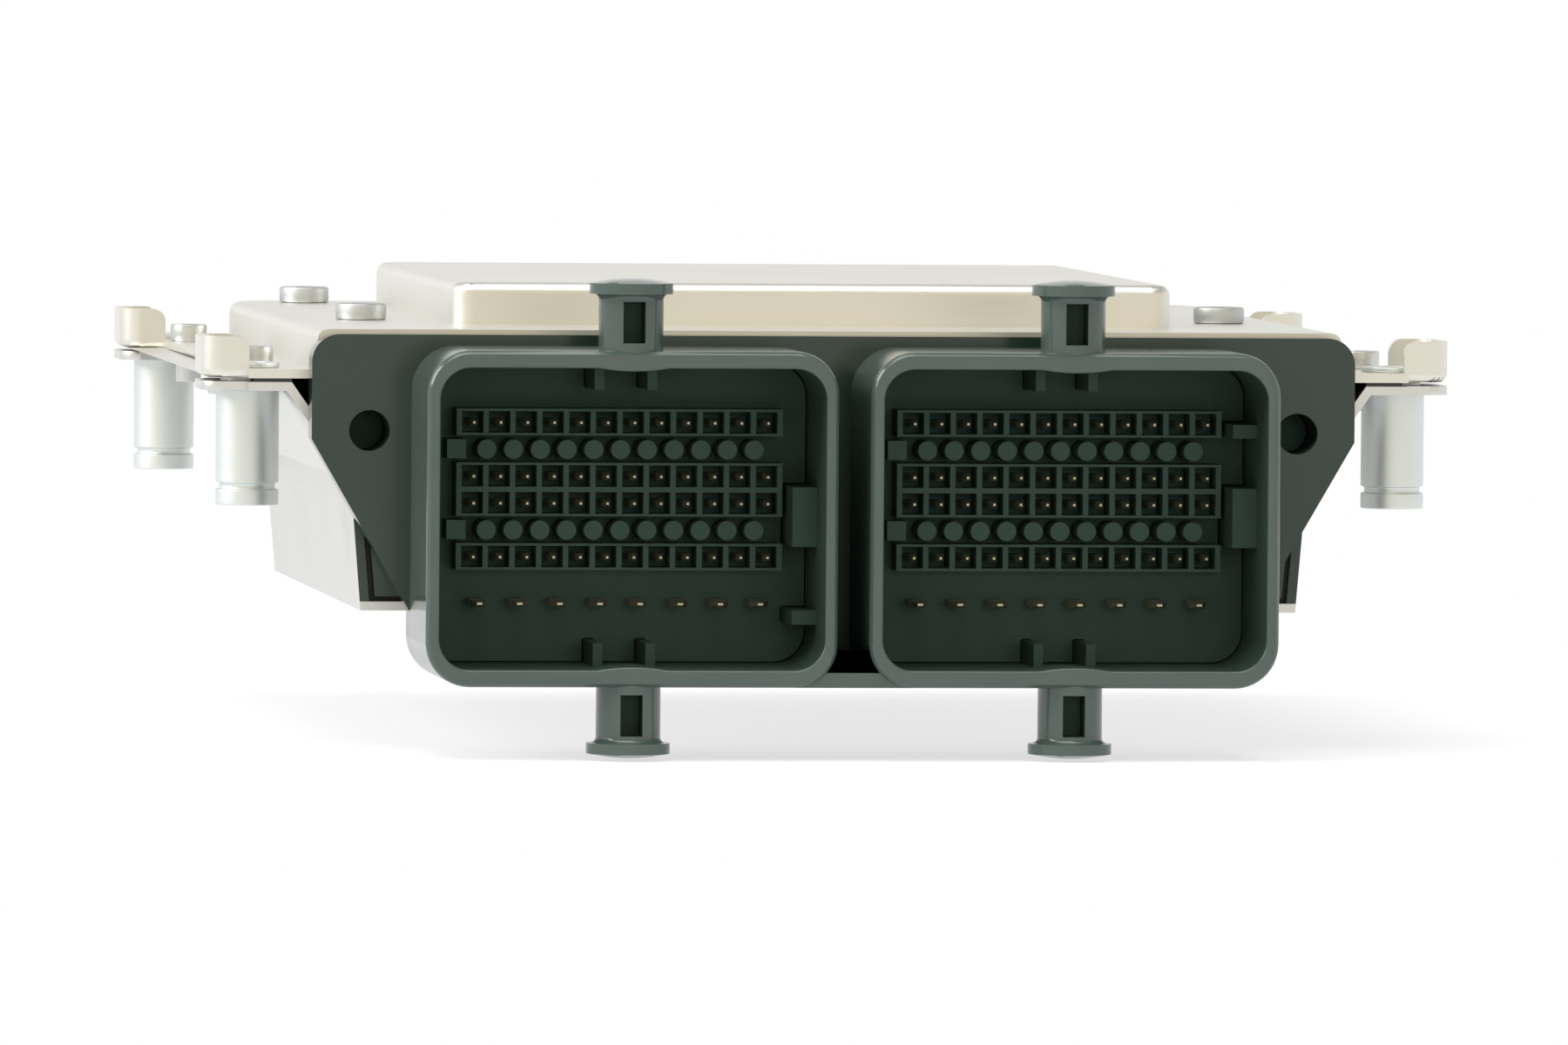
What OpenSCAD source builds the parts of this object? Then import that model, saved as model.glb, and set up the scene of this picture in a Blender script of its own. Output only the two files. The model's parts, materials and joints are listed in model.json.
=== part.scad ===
// Engine control unit: pressed aluminium case, moulded front with two 56-way headers.
// The origin is the middle of the four mounting sleeves, on the plane of their feet.
// X runs across the unit, the connectors face -Y and +Z is up.

/* [Mounting] */
// Distance from the flange edge in to the sleeve axes
sleeve_inset = 0.5; // [0.3:0.1:2]
// Distance between the sleeves from front to rear
sleeve_span_y = 90; // [80:1:120]
// Outside diameter of a sleeve
sleeve_od = 6; // [5.8:0.1:7]
// Bore of a sleeve, for the fixing screw
sleeve_bore = 4.3; // [3.5:0.1:4.5]
// Height of a sleeve from its foot to the pan flange
sleeve_len = 11; // [9:0.5:15]
// Outside diameter of the sleeve neck that is swaged through the sheets
neck_od = 5.2; // [5.1:0.1:5.6]
// Width of the groove near the foot of a sleeve
groove_w = 0.6; // [0.3:0.1:1]
// Height of the groove above the foot
groove_z = 1.5; // [1:0.1:3]
// Reach of an ear beyond its sleeve axis, sideways
ear_reach = 4.75; // [4.5:0.05:7]
// Half depth of an ear
ear_half = 4.9; // [4.5:0.1:6]
// Length of an ear inwards from its sleeve axis
ear_root = 7.5; // [6.5:0.1:9]
// Corner radius of an ear
ear_r = 2; // [1.5:0.1:3]
// Height of the turned-up lip, from the underside of the flange
lip_h = 3.9; // [2:0.1:5]

/* [Case] */
// Thickness of the aluminium sheet
sheet_t = 0.85; // [0.7:0.05:1]
// Thickness of the seal between the flanges
seal_t = 0.35; // [0.2:0.05:0.6]
// Width of the flange outside the mouth of the pan
flange_lap = 4.1; // [3.8:0.1:6]
// Distance from the rear sleeves to the rear edge of the flange
rear_margin = 6.5; // [5.5:0.5:10]
// Ledge between the mouth of the pan and the first level of the cover, inside
level_step = 3.25; // [2.5:0.05:4]
// Rise of the first level above the flange
level_h = 3.85; // [3.6:0.05:6]
// Distance from the side of the first level to the raised middle
raised_side = 14.3; // [8:0.1:25]
// Distance from the rear of the first level to the raised middle
raised_end = 8; // [6:0.5:15]
// Rise of the raised middle above the first level
raised_h = 4.1; // [2:0.1:6]
// Distance from the plate to the front of the raised middle
raised_setback = 17; // [12:0.5:30]
// Corner radius of the pressed levels
press_r = 6; // [4:0.5:9]
// Corner radius of the raised middle
raised_r = 2; // [2:0.5:6]
// Bend radius along the pressed edges, outside
bend_r = 1; // [1:0.1:2]
// Distance from the side of the plate to the mouth of the pan
shoulder_step = 1.6; // [1:0.1:2]
// Sideways run of the sloping shoulder of the pan
shoulder_run = 6.5; // [5.5:0.1:8]
// Height of the foot of the shoulder above the sleeve feet
shoulder_z = 2.6; // [1:0.2:4]
// Depth of the pan floor below the sleeve feet, inside
floor_z = 8.9; // [8.8:0.1:12]
// Draft of the pan walls, in degrees
wall_draft = 5; // [3:0.5:7]

/* [Header plate] */
// Width of the plate beside a shroud
plate_side = 9.4; // [8.5:0.1:12]
// Thickness of the plate
plate_t = 3.2; // [2.6:0.1:4]
// Height of the plate top above the shrouds
plate_over = 1; // [0.5:0.1:2]
// Corner radius at the top of the plate
plate_r = 2.6; // [1:0.1:4]
// Height above the connector axis at which the sides start to slope in
slope_z = 6.9; // [2:0.1:10]
// Angle of the sloping sides from the horizontal
slope_angle = 60; // [58:1:70]
// Diameter of the two plain holes in the plate
plate_hole_d = 3.9; // [3:0.1:4.5]
// Distance from the side of the plate to a plain hole
plate_hole_edge = 5.5; // [4.5:0.1:6.2]
// Height of the plain holes above the connector axis
plate_hole_z = 7.7; // [7:0.1:10]
// Distance from the plate face to the front sleeve axis
sleeve_setback = 9.7; // [9:0.1:12]
// Depth of the rear collar that fills the mouth of the case
collar_d = 6; // [5:0.5:8]
// Wall of the collar and its pockets
collar_wall = 1.8; // [1.4:0.1:2.4]
// Floor of a shroud behind its contact carrier
seat_wall = 1.2; // [0.8:0.1:1.2]
// Room for the seal round the collar
collar_gap = 0.5; // [0.4:0.05:0.8]
// Distance from the ends of the collar to the seal
seal_edge = 1; // [0.5:0.1:2]

/* [Shrouds] */
// Gap between the two shrouds
shroud_gap = 3; // [2:0.1:6]
// Height of the connector axis above the sleeve feet
conn_z = -0.3; // [-0.5:0.1:0.1]
// Room beside the pin rows in a shroud opening
open_side = 2.96; // [2.6:0.02:3.6]
// Height of a shroud opening
open_h = 28.3; // [28:0.1:29]
// Corner radius of a shroud opening
open_r = 2.9; // [2:0.1:4]
// Side wall of a shroud
side_wall = 1.25; // [1:0.05:1.5]
// Top and bottom wall of a shroud
end_wall = 1.65; // [1.3:0.05:2]
// Rounding of the outer edge of a shroud rim
rim_r = 0.7; // [0.3:0.05:1]
// Length of a shroud in front of the plate
shroud_len = 15.5; // [13:0.5:20]
// Thickness of the web that joins the shrouds along the bottom
web_t = 1.4; // [1:0.1:1.6]

/* [Lever posts] */
// Diameter of a post
post_d = 6.1; // [5:0.1:6.5]
// Diameter of the flange at the end of a post
post_flange_d = 7.9; // [7:0.1:9]
// Thickness of the post flange
post_flange_t = 1; // [0.7:0.1:1.4]
// Height of the dome on the end of a post
post_dome = 0.45; // [0.2:0.05:0.6]
// Distance from the connector axis to the end face of a post, without its dome
post_reach = 22.1; // [21:0.1:24]
// Width of the slot in a post
slot_w = 2.1; // [1.5:0.1:2.6]
// Height of the slot in a post
slot_h = 3.9; // [2.5:0.1:4.2]
// Depth of the slot in a post
slot_d = 3.6; // [2:0.1:4]
// Distance from the shroud rim back to a post
post_setback = 0.25; // [0.1:0.05:1]
// Radius of the thickening of the wall behind a post
post_boss_r = 19; // [10:0.5:30]
// Height of that thickening inside the opening
post_boss_in = 0.3; // [0.2:0.05:0.8]
// Fillet where a post meets its flange
post_fillet = 0.6; // [0.3:0.1:0.8]

/* [Ribs and keys] */
// Width of a guide rib
rib_w = 0.9; // [0.5:0.1:1.2]
// Height of a guide rib
rib_h = 2.2; // [1.5:0.1:2.6]
// Distance between a pair of guide ribs
rib_span = 5; // [3.6:0.1:6]
// Distance from a lever post back to the guide ribs
rib_setback = 1; // [0.5:0.1:2]
// Gap between the side keys and the pin rows
key_gap = 0.66; // [0.4:0.02:0.8]
// Height of the middle key
key_h = 5.6; // [4:0.1:7]
// Distance from the rim back to the keys
key_setback = 7; // [5:0.5:9]
// Height of a coding block
code_h = 1.3; // [1:0.1:1.6]
// Distance from the connector axis to the coding block of the left socket, downwards
code_left = 9.5; // [8.8:0.1:10]
// Distance from the connector axis to the coding block of the right socket, upwards
code_right = 8.2; // [7.8:0.1:9]

/* [Contacts] */
// Pitch of the small pins
pin_pitch = 2.54; // [2.4:0.02:2.6]
// Side of a small pin
pin_w = 0.64; // [0.5:0.02:0.7]
// Pitch of the blades
blade_pitch = 3.81; // [3.6:0.01:3.9]
// Width of a blade
blade_w = 1.5; // [1.2:0.1:1.8]
// Depth of the contact tips below the shroud rim
tip_depth = 10.4; // [9:0.1:12]
// Length of the tapered tip of a contact
taper_l = 0.9; // [0.5:0.1:1.5]
// Height of the first pin row above the connector axis
row_top = 8.7; // [8.4:0.05:9]
// Depth of the blade row below the connector axis
blade_drop = 8.4; // [8.2:0.05:8.6]
// Rise of a blade inside its carrier
blade_jog = 2.5; // [2.3:0.1:2.6]
// Distance between the tail rows on the board
tail_pitch = 3; // [2.6:0.1:3.4]
// Distance from the collar to the first tail row
tail_gap = 3; // [2:0.1:4]
// Distance from the last pin tails to the blade tails
blade_tail_gap = 4.2; // [3.5:0.1:5]
// Length of a tail above the board
tail_out = 1.1; // [0.6:0.1:1.5]
// Clearance between a carrier and the header
carrier_gap = 0.1; // [0.05:0.01:0.2]
// Thickness of the carrier flange
carrier_t = 2; // [1.5:0.1:2.6]
// Height of the window walls on a carrier
window_h = 3.8; // [2:0.1:4.5]
// Wall between two windows
window_wall = 0.5; // [0.4:0.05:0.6]
// Diameter of the round guard posts
guard_d = 1.8; // [1.4:0.1:1.9]
// Distance from the contact tips back to the guard post ends
guard_setback = 0.5; // [0.3:0.1:1]
// Wall of the plug round the pin rows, at the sides
plug_side = 1.2; // [0.8:0.1:1.6]
// Wall of the plug above the first pin row and below the blades
plug_wall = 1.1; // [0.9:0.1:1.4]

/* [Board] */
// Thickness of the circuit board
board_t = 1.6; // [1.2:0.1:2]
// Gap between the board and the side of the cover
board_gap = 1.35; // [1:0.05:2.5]
// Gap between the board and the cover, set by the standoffs
standoff_h = 1.85; // [1.7:0.05:2.2]
// Gap between the board and the rear of the cover
board_end_gap = 2.65; // [2:0.05:5]
// Gap between the board and the collar
board_front_gap = 1; // [0.5:0.1:2]
// Distance from a board screw to the edge of the board
board_screw_edge = 5; // [4.5:0.1:7]
// Distance from the blade tails to the front board screws
board_screw_gap = 8.8; // [7:0.1:12]
// Diameter of the board screws
board_screw_d = 3; // [2.5:0.1:3.2]
// Diameter of the head of a board screw, on the cover
board_head_d = 4.9; // [4.5:0.1:6]
// Height of the head of a board screw
board_head_h = 1.6; // [1.2:0.1:2.4]
// Height of the nut of a board screw, under the board
board_nut_h = 1.6; // [1.2:0.1:2.4]
// Height of the power chips that lie against the cover
chip_h = 1.45; // [1.2:0.05:1.6]
// Diameter of the case screws
case_screw_d = 2.5; // [2:0.1:2.6]
// Distance from a sleeve to the next case screw
case_screw_in = 10; // [8:0.5:15]

/* [Board parts] */
// Side of the processor
processor_w = 20; // [14:1:24]
// Side of the supply regulator
regulator_w = 9; // [6:0.5:10]
// Width of the memory chip
memory_w = 8; // [6:0.5:10]
// Gap between the chips in the middle of the board
chip_gap = 9.5; // [5:0.5:10]
// Length of a lead
lead_l = 0.9; // [0.6:0.1:1.2]
// Width of a driver chip
driver_w = 6; // [4:0.5:7]
// Depth of a driver chip
driver_d = 10; // [8:0.5:10]
// Pitch of the driver chips
driver_pitch = 13; // [12:0.5:14]
// Distance from the edge of the board to the driver chips
driver_edge = 2.8; // [2:0.1:4]
// Width of a power transistor
transistor_w = 8; // [6:0.5:9]
// Depth of a power transistor
transistor_d = 9; // [7:0.5:10]
// Height of a power transistor
transistor_h = 2.3; // [2:0.1:3]
// Pitch of the power transistors
transistor_pitch = 12; // [10:0.5:13]
// Distance from the rear edge of the board to the power transistors
transistor_edge = 7; // [5:0.5:8]
// Diameter of a storage capacitor
capacitor_d = 10; // [8:0.5:11]
// Height of a storage capacitor
capacitor_h = 12; // [8:0.5:16]
// Pitch of the storage capacitors
capacitor_pitch = 14; // [12:0.5:16]
// Gap between the power transistors and the storage capacitors
capacitor_gap = 9; // [2:0.5:12]
// Side of the power choke
choke_w = 12; // [9:0.5:13]
// Height of the power choke
choke_h = 7; // [5:0.5:10]
// Length of the clock crystal
crystal_l = 10; // [8:0.5:11]
// Width of the clock crystal
crystal_w = 4; // [3.5:0.1:5]
// Height of the clock crystal
crystal_h = 3.5; // [2.5:0.1:4]
// Gap between the processor and the clock crystal
crystal_gap = 4; // [2:0.5:6]

/* [Hidden] */
$fn = 48;

// Small overlap that keeps cuts clean
eps = 0.02;
// Running clearance between pieces that pass through each other
slip = 0.1;
// Contacts in a pin row and in a blade row
pin_count = 12;
blade_count = 8;
// Widths from the connectors outwards: opening, shroud, plate, pan, cover, flange, sleeves
open_w = pin_count * pin_pitch + 2 * open_side;
shroud_w = open_w + 2 * side_wall;
shroud_h = open_h + 2 * end_wall;
shroud_r = open_r + side_wall;
conn_span = shroud_w + shroud_gap;
plate_w = conn_span + shroud_w + 2 * plate_side;
plate_top = shroud_h / 2 + plate_over;
plate_hole_span = plate_w - 2 * plate_hole_edge;
shoulder_w = plate_w + 2 * shoulder_step;
trough_w = shoulder_w - 2 * shoulder_run;
level_w = shoulder_w - 2 * level_step + 2 * sheet_t;
raised_w = level_w - 2 * raised_side;
flange_w = shoulder_w + 2 * flange_lap;
sleeve_span_x = flange_w - 2 * sleeve_inset;
// Planes along Y: plate face, shroud rim, case mouth, collar back, rear edges, contact tips
plate_y = -sleeve_span_y / 2 - sleeve_setback;
rim_y = plate_y - shroud_len;
mouth_y = plate_y + plate_t;
collar_y = mouth_y + collar_d;
rear_y = sleeve_span_y / 2 + rear_margin;
pan_rear = rear_y - flange_lap;
level_rear = rear_y - (flange_w - level_w) / 2;
tip_y = rim_y + tip_depth;
// Planes along Z: pan flange, seal, cover flange, levels
pan_z = sleeve_len;
seal_z = pan_z + sheet_t;
cover_z = seal_z + seal_t;
screw_z = cover_z + sheet_t;
level_z = screw_z + level_h;
raised_z = level_z + raised_h;
inside_z = level_z - sheet_t;
board_top = inside_z - standoff_h;
board_z = board_top - board_t;
// Sheet sections of the pan: horizontal thickness of the sloping shoulder and of the wall
shoulder_rise = seal_z - shoulder_z;
shoulder_lean = shoulder_run / shoulder_rise;
shoulder_skin = sheet_t * sqrt(1 + pow(shoulder_lean, 2));
wall_skin = sheet_t / cos(wall_draft);
floor_half = trough_w / 2 - (shoulder_z + floor_z) * tan(wall_draft);
foot_drop = (shoulder_skin - wall_skin) / (shoulder_lean - tan(wall_draft));
foot_half = trough_w / 2 + wall_skin - foot_drop * tan(wall_draft);
// Bend radius inside the sheet
bend_in = max(bend_r - sheet_t, 1.5 * slip);
// Place of a post along Y
post_y = rim_y + post_d / 2 + post_setback;
// Carrier planes, plug and tail places
seat_y = mouth_y - seat_wall;
carrier_y = seat_y - carrier_t;
window_y = carrier_y - window_h;
plug_w = pin_count * pin_pitch + 2 * plug_side;
plug_top = row_top + pin_w / 2 + plug_wall;
plug_low = blade_drop - blade_jog + plug_wall;
pin_rows = [row_top, row_top - 2 * pin_pitch, row_top - 3 * pin_pitch, row_top - 5 * pin_pitch];
tail_y = collar_y + tail_gap;
blade_tail_y = tail_y + (len(pin_rows) - 1) * tail_pitch + blade_tail_gap;
tail_end = board_top + tail_out;
// Places of the screws
case_screw_x = (shoulder_w + flange_w) / 4;
case_screw_y = sleeve_span_y / 2 - case_screw_in;
case_head_d = 3.6;
case_head_h = 1.7;
// Board outline, its screws and the middle of its chips
board_w = level_w - 2 * sheet_t - 2 * board_gap;
board_front = collar_y + board_front_gap;
board_rear = level_rear - sheet_t - board_end_gap;
board_screw_x = board_w / 2 - board_screw_edge;
board_screw_ys = [blade_tail_y + board_screw_gap, board_rear - board_screw_edge];
chips_y = (board_screw_ys[0] + board_screw_ys[1]) / 2;
driver_x = board_w / 2 - driver_edge - driver_w / 2;
// Rear edge of the tall parts under the board
tall_y = board_rear - transistor_edge - transistor_d - capacitor_gap;

// A rectangle with round corners, made of squares and circles
module rounded_rect(w, h, r) {
    square([w - 2 * r, h], center = true);
    square([w, h - 2 * r], center = true);
    for (x = [-1, 1], y = [-1, 1])
        translate([x * (w / 2 - r), y * (h / 2 - r)]) circle(r);
}

// Stands a drawing in X and Z on the plane y and extrudes it towards +Y
module stand(y, length) {
    translate([0, y + length, 0]) rotate([90, 0, 0]) linear_extrude(length) children();
}

// A rounded rectangle that grows by the inset on all sides over the length, from the plane y
module tapered_rect(w, h, r, y, inset, length) {
    side = [[-w / 2 + inset, 0], [w / 2 - inset, 0], [w / 2, length], [-w / 2, length]];
    end = [[-h / 2 + inset, 0], [h / 2 - inset, 0], [h / 2, length], [-h / 2, length]];
    translate([0, y, 0]) {
        translate([0, 0, r - h / 2]) linear_extrude(h - 2 * r) polygon(side);
        translate([r - w / 2, 0, 0]) rotate([0, 90, 0]) linear_extrude(w - 2 * r)
            polygon([for (p = end) [-p[0], p[1]]]);
        for (x = [-1, 1], z = [-1, 1]) translate([x * (w / 2 - r), 0, z * (h / 2 - r)])
            rotate([-90, 0, 0]) cylinder(r1 = r - inset, r2 = r, h = length);
    }
}

// The outside of a shroud, with a rounded rim in three steps
module shroud_body() {
    steps = [0, 30, 60, 90];
    for (k = [0:2]) {
        near = rim_r * (1 - cos(steps[k]));
        far = rim_r * (1 - cos(steps[k + 1]));
        trim = rim_r * (1 - sin(steps[k + 1]));
        tapered_rect(shroud_w - 2 * trim, shroud_h - 2 * trim, shroud_r - trim, rim_y + near,
            rim_r * (sin(steps[k + 1]) - sin(steps[k])), far - near + eps / 10);
    }
    stand(rim_y + rim_r, shroud_len + plate_t - rim_r) rounded_rect(shroud_w, shroud_h, shroud_r);
}

// A pressed block with round corners and a rounded top edge, from the plane z up
module pressed(w, y0, y1, z, h, r, edge) {
    hull() {
        translate([0, (y0 + y1) / 2, z]) linear_extrude(h - edge) rounded_rect(w, y1 - y0, r);
        for (a = [30, 60, 90])
            translate([0, (y0 + y1) / 2, z + h - edge])
                linear_extrude(edge * sin(a))
                    rounded_rect(w - 2 * edge * (1 - cos(a)), y1 - y0 - 2 * edge * (1 - cos(a)),
                        r - edge * (1 - cos(a)));
    }
}

// A block that widens from half width a at z0 to half width b at z1, open to the front
module flared(a, z0, b, z1, r) {
    layer = 0.01;
    hull()
        for (k = [[a, z0], [b, z1 - layer]])
            translate([0, (mouth_y + pan_rear - shoulder_w / 2 + k[0]) / 2 - r, k[1]])
                linear_extrude(layer)
                    rounded_rect(2 * k[0], pan_rear - shoulder_w / 2 + k[0] - mouth_y + 2 * r, r);
}

// Outline of both flanges with the four ears
module flange_outline() {
    difference() {
        translate([0, (mouth_y - press_r + rear_y) / 2])
            rounded_rect(flange_w, rear_y - mouth_y + press_r, press_r);
        translate([-flange_w, mouth_y - 2 * press_r]) square([2 * flange_w, 2 * press_r]);
    }
    at_sleeves() ear_outline(0);
}

// An ear round its sleeve, with the flange on its inner side
module ear_outline(inset) {
    translate([(ear_reach - ear_root) / 2, 0])
        rounded_rect(ear_reach + ear_root - 2 * inset, 2 * ear_half - 2 * inset, ear_r - inset);
}

// Puts a piece at each sleeve, turned so that +X points outwards
module at_sleeves() {
    for (y = [-1, 1]) {
        translate([sleeve_span_x / 2, y * sleeve_span_y / 2]) children();
        mirror([1, 0, 0]) translate([sleeve_span_x / 2, y * sleeve_span_y / 2]) children();
    }
}

module at_case_screws() {
    for (x = [-1, 1], y = [-1, 0, 1]) translate([x * case_screw_x, y * case_screw_y]) children();
}

module at_board_screws() {
    for (x = [-1, 1], y = board_screw_ys) translate([x * board_screw_x, y]) children();
}

// The turned-up lip on the outer edge of an ear, with rounded ends
module ear_lip() {
    lip_start = sleeve_inset - 2 * slip;
    end_r = 1.3;
    intersection() {
        linear_extrude(lip_h) difference() {
            ear_outline(0);
            ear_outline(sheet_t);
        }
        stand(-ear_half - 1, 2 * ear_half + 2) {
            translate([lip_start + end_r, 0]) square([ear_reach + 2, lip_h]);
            translate([lip_start, 0]) square([2 * end_r, lip_h - end_r]);
            translate([lip_start + end_r, lip_h - end_r]) circle(end_r);
        }
    }
}

module heat_sink_cover() color("gainsboro") {
    deep = 3 * press_r;
    raised_rear = level_rear - raised_end;
    raised_front = plate_y + raised_setback;
    difference() {
        union() {
            translate([0, 0, cover_z]) linear_extrude(sheet_t) flange_outline();
            translate([0, 0, cover_z]) at_sleeves() ear_lip();
            pressed(level_w, mouth_y - deep, level_rear, cover_z, level_z - cover_z, press_r, bend_r);
            pressed(raised_w, raised_front, raised_rear, cover_z, raised_z - cover_z, raised_r, bend_r);
        }
        pressed(level_w - 2 * sheet_t, mouth_y - deep - 1, level_rear - sheet_t, cover_z - 1,
            inside_z - cover_z + 1, press_r - sheet_t, bend_in);
        pressed(raised_w - 2 * sheet_t, raised_front + sheet_t, raised_rear - sheet_t, cover_z - 1,
            raised_z - sheet_t - cover_z + 1, raised_r - sheet_t, bend_in);
        translate([-flange_w, mouth_y - 2 * deep, 0]) cube([2 * flange_w, 2 * deep, 2 * raised_z]);
        at_sleeves() cylinder(d = neck_od + 2 * slip, h = 2 * raised_z);
        at_case_screws() cylinder(d = case_screw_d + 2 * slip, h = 2 * raised_z);
        at_board_screws() cylinder(d = board_screw_d + 2 * slip, h = 2 * raised_z);
    }
}

module base_pan() color("lightgray") {
    corner = press_r + sheet_t;
    deep = 6 * press_r;
    difference() {
        union() {
            translate([0, 0, pan_z]) linear_extrude(sheet_t) flange_outline();
            flared(foot_half, shoulder_z - foot_drop, shoulder_w / 2 + shoulder_skin, seal_z, corner);
            flared(floor_half + wall_skin, -floor_z - sheet_t, foot_half,
                shoulder_z - foot_drop + eps, corner);
        }
        flared(trough_w / 2, shoulder_z, shoulder_w / 2, seal_z + eps, press_r);
        flared(floor_half, -floor_z, trough_w / 2, shoulder_z + eps, press_r);
        translate([-flange_w, mouth_y - deep, -2 * floor_z]) cube([2 * flange_w, deep, 4 * raised_z]);
        at_sleeves() cylinder(d = neck_od + 2 * slip, h = 2 * raised_z);
        at_case_screws() cylinder(d = case_screw_d + 2 * slip, h = 2 * raised_z);
    }
}

module case_seal() color("dimgray") {
    rim = 0.6;
    translate([0, 0, seal_z]) linear_extrude(seal_t) difference() {
        translate([-flange_w / 2 + rim, mouth_y]) square([flange_w - 2 * rim, rear_y - rim - mouth_y]);
        translate([-shoulder_w / 2, mouth_y - 1]) square([shoulder_w, pan_rear - mouth_y + 1]);
        at_case_screws() circle(d = case_screw_d + 2 * slip);
        at_sleeves() circle(d = sleeve_od + 2 * slip);
    }
}

// Half of the section inside the case mouth, drawn in by the inset
function mouth_half(inset) = let (
        level_half = level_w / 2 - sheet_t - inset,
        slant = sqrt(1 + pow(shoulder_lean, 2)),
        corner = bend_in - slip,
        join_z = seal_z - (shoulder_w / 2 - inset * slant - level_half) / shoulder_lean)
    [[level_half - bend_r, inside_z - inset], [level_half, inside_z - inset - bend_r], [level_half, join_z],
        [trough_w / 2 - inset, shoulder_z], [floor_half - inset, corner - floor_z + inset],
        [floor_half - inset - corner, inset - floor_z]];

module mouth_section(inset) {
    half = mouth_half(inset);
    polygon(concat(half, [for (k = [len(half) - 1:-1:0]) [-half[k][0], half[k][1]]]));
}

module header_seal() color("dimgray") {
    stand(mouth_y + seal_edge, collar_d - 2 * seal_edge) difference() {
        mouth_section(slip / 4);
        mouth_section(collar_gap - slip / 4);
    }
}

// Plate outline about the connector axis
module plate_outline() {
    half = plate_w / 2;
    low = shroud_h / 2;
    foot = half - (slope_z + low) / tan(slope_angle);
    polygon([[-foot, -low], [foot, -low], [half, slope_z], [half, plate_top - plate_r],
        [half - plate_r, plate_top], [plate_r - half, plate_top], [-half, plate_top - plate_r],
        [-half, slope_z]]);
    for (x = [-1, 1]) translate([x * (half - plate_r), plate_top - plate_r]) circle(plate_r);
}

// Lever post, from the connector axis outwards along +Z, with a flange and a domed end
module lever_post() {
    r = post_d / 2;
    flange_r = post_flange_d / 2;
    dome_r = (flange_r * flange_r + post_dome * post_dome) / (2 * post_dome);
    under = post_reach - post_flange_t;
    wall = shroud_h / 2;
    difference() {
        translate([0, post_y, 0]) {
            rotate_extrude() {
                translate([0, wall - end_wall / 2]) square([r, under - wall + end_wall / 2 + eps]);
                difference() {
                    translate([0, under - post_fillet]) square([r + post_fillet, post_fillet + eps]);
                    translate([r + post_fillet, under - post_fillet]) circle(post_fillet);
                }
                translate([0, under]) square([flange_r, post_flange_t]);
                intersection() {
                    translate([0, post_reach + post_dome - dome_r]) circle(dome_r, $fn = 96);
                    translate([0, post_reach - eps]) square([flange_r, post_dome + 1]);
                }
            }
        }
        translate([-slot_w / 2, rim_y - 1, (wall + under - slot_h) / 2])
            cube([slot_w, slot_d + 1, slot_h]);
    }
}

// Lens-shaped thickening of a shroud wall behind its lever post
module post_boss() {
    intersection() {
        translate([0, 0, open_h / 2 - post_boss_in + post_boss_r])
            stand(rim_y, post_d + 2 * post_setback) circle(post_boss_r, $fn = 64);
        translate([-shroud_w / 2, rim_y - 1, 0]) cube([shroud_w, post_d + 2, shroud_h / 2]);
    }
}

// Guide ribs and coding blocks that stand out from the walls of an opening
module opening_ribs(side) {
    rib_front = rim_y + post_d + rib_setback;
    for (z = [-1, 1], x = [-1, 1])
        translate([(x * rib_span - rib_w) / 2, rib_front, z > 0 ? open_h / 2 - rib_h : -open_h / 2 - eps])
            cube([rib_w, seat_y - rib_front, rib_h + eps]);
    key_w = open_side - key_gap;
    key_front = rim_y + key_setback;
    translate([open_w / 2 - key_w, key_front, -key_h / 2])
        cube([key_w + eps, seat_y - key_front, key_h]);
    translate([open_w / 2 - key_w, key_front, (side < 0 ? -code_left : code_right) - code_h / 2])
        cube([key_w + eps, seat_y - key_front, code_h]);
}

module connector_header() color("#2b3230") {
    difference() {
        union() {
            translate([0, 0, conn_z]) stand(plate_y, plate_t) plate_outline();
            difference() {
                stand(mouth_y - eps, collar_d + eps) mouth_section(collar_gap);
                for (side = [-1, 1]) collar_pocket(side);
            }
            for (side = [-1, 1]) translate([side * conn_span / 2, 0, conn_z]) {
                shroud_body();
                lever_post();
                mirror([0, 0, 1]) lever_post();
            }
            web_w = shroud_gap + 2 * shroud_r;
            translate([-web_w / 2, rim_y + rim_r, conn_z - shroud_h / 2])
                cube([web_w, shroud_len - rim_r + eps, web_t]);
        }
        for (side = [-1, 1]) translate([side * conn_span / 2, 0, conn_z]) difference() {
            union() {
                stand(rim_y - 1, seat_y - rim_y + 1) rounded_rect(open_w, open_h, open_r);
                translate([-plug_w / 2, seat_y - 1, -plug_low])
                    cube([plug_w, seat_wall + collar_d + 2, plug_low + plug_top]);
            }
            post_boss();
            mirror([0, 0, 1]) post_boss();
            opening_ribs(side);
        }
        for (x = [-1, 1]) translate([x * plate_hole_span / 2, plate_y - 1, conn_z + plate_hole_z])
            rotate([-90, 0, 0]) cylinder(d = plate_hole_d, h = plate_t + collar_d - collar_wall + 1);
    }
}

// Moulding pocket in the back of the collar, outboard of each connector and clear of the plate hole
module collar_pocket(side) {
    inner = conn_span / 2 + plug_w / 2 + collar_wall;
    outer = trough_w / 2 - collar_gap - 2 * collar_wall;
    translate([side > 0 ? inner : -outer, mouth_y + collar_wall, -floor_z + 2 * collar_wall])
        cube([outer - inner, collar_d, floor_z + conn_z + plate_hole_z - plate_hole_d - 2 * collar_wall]);
}

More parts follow.
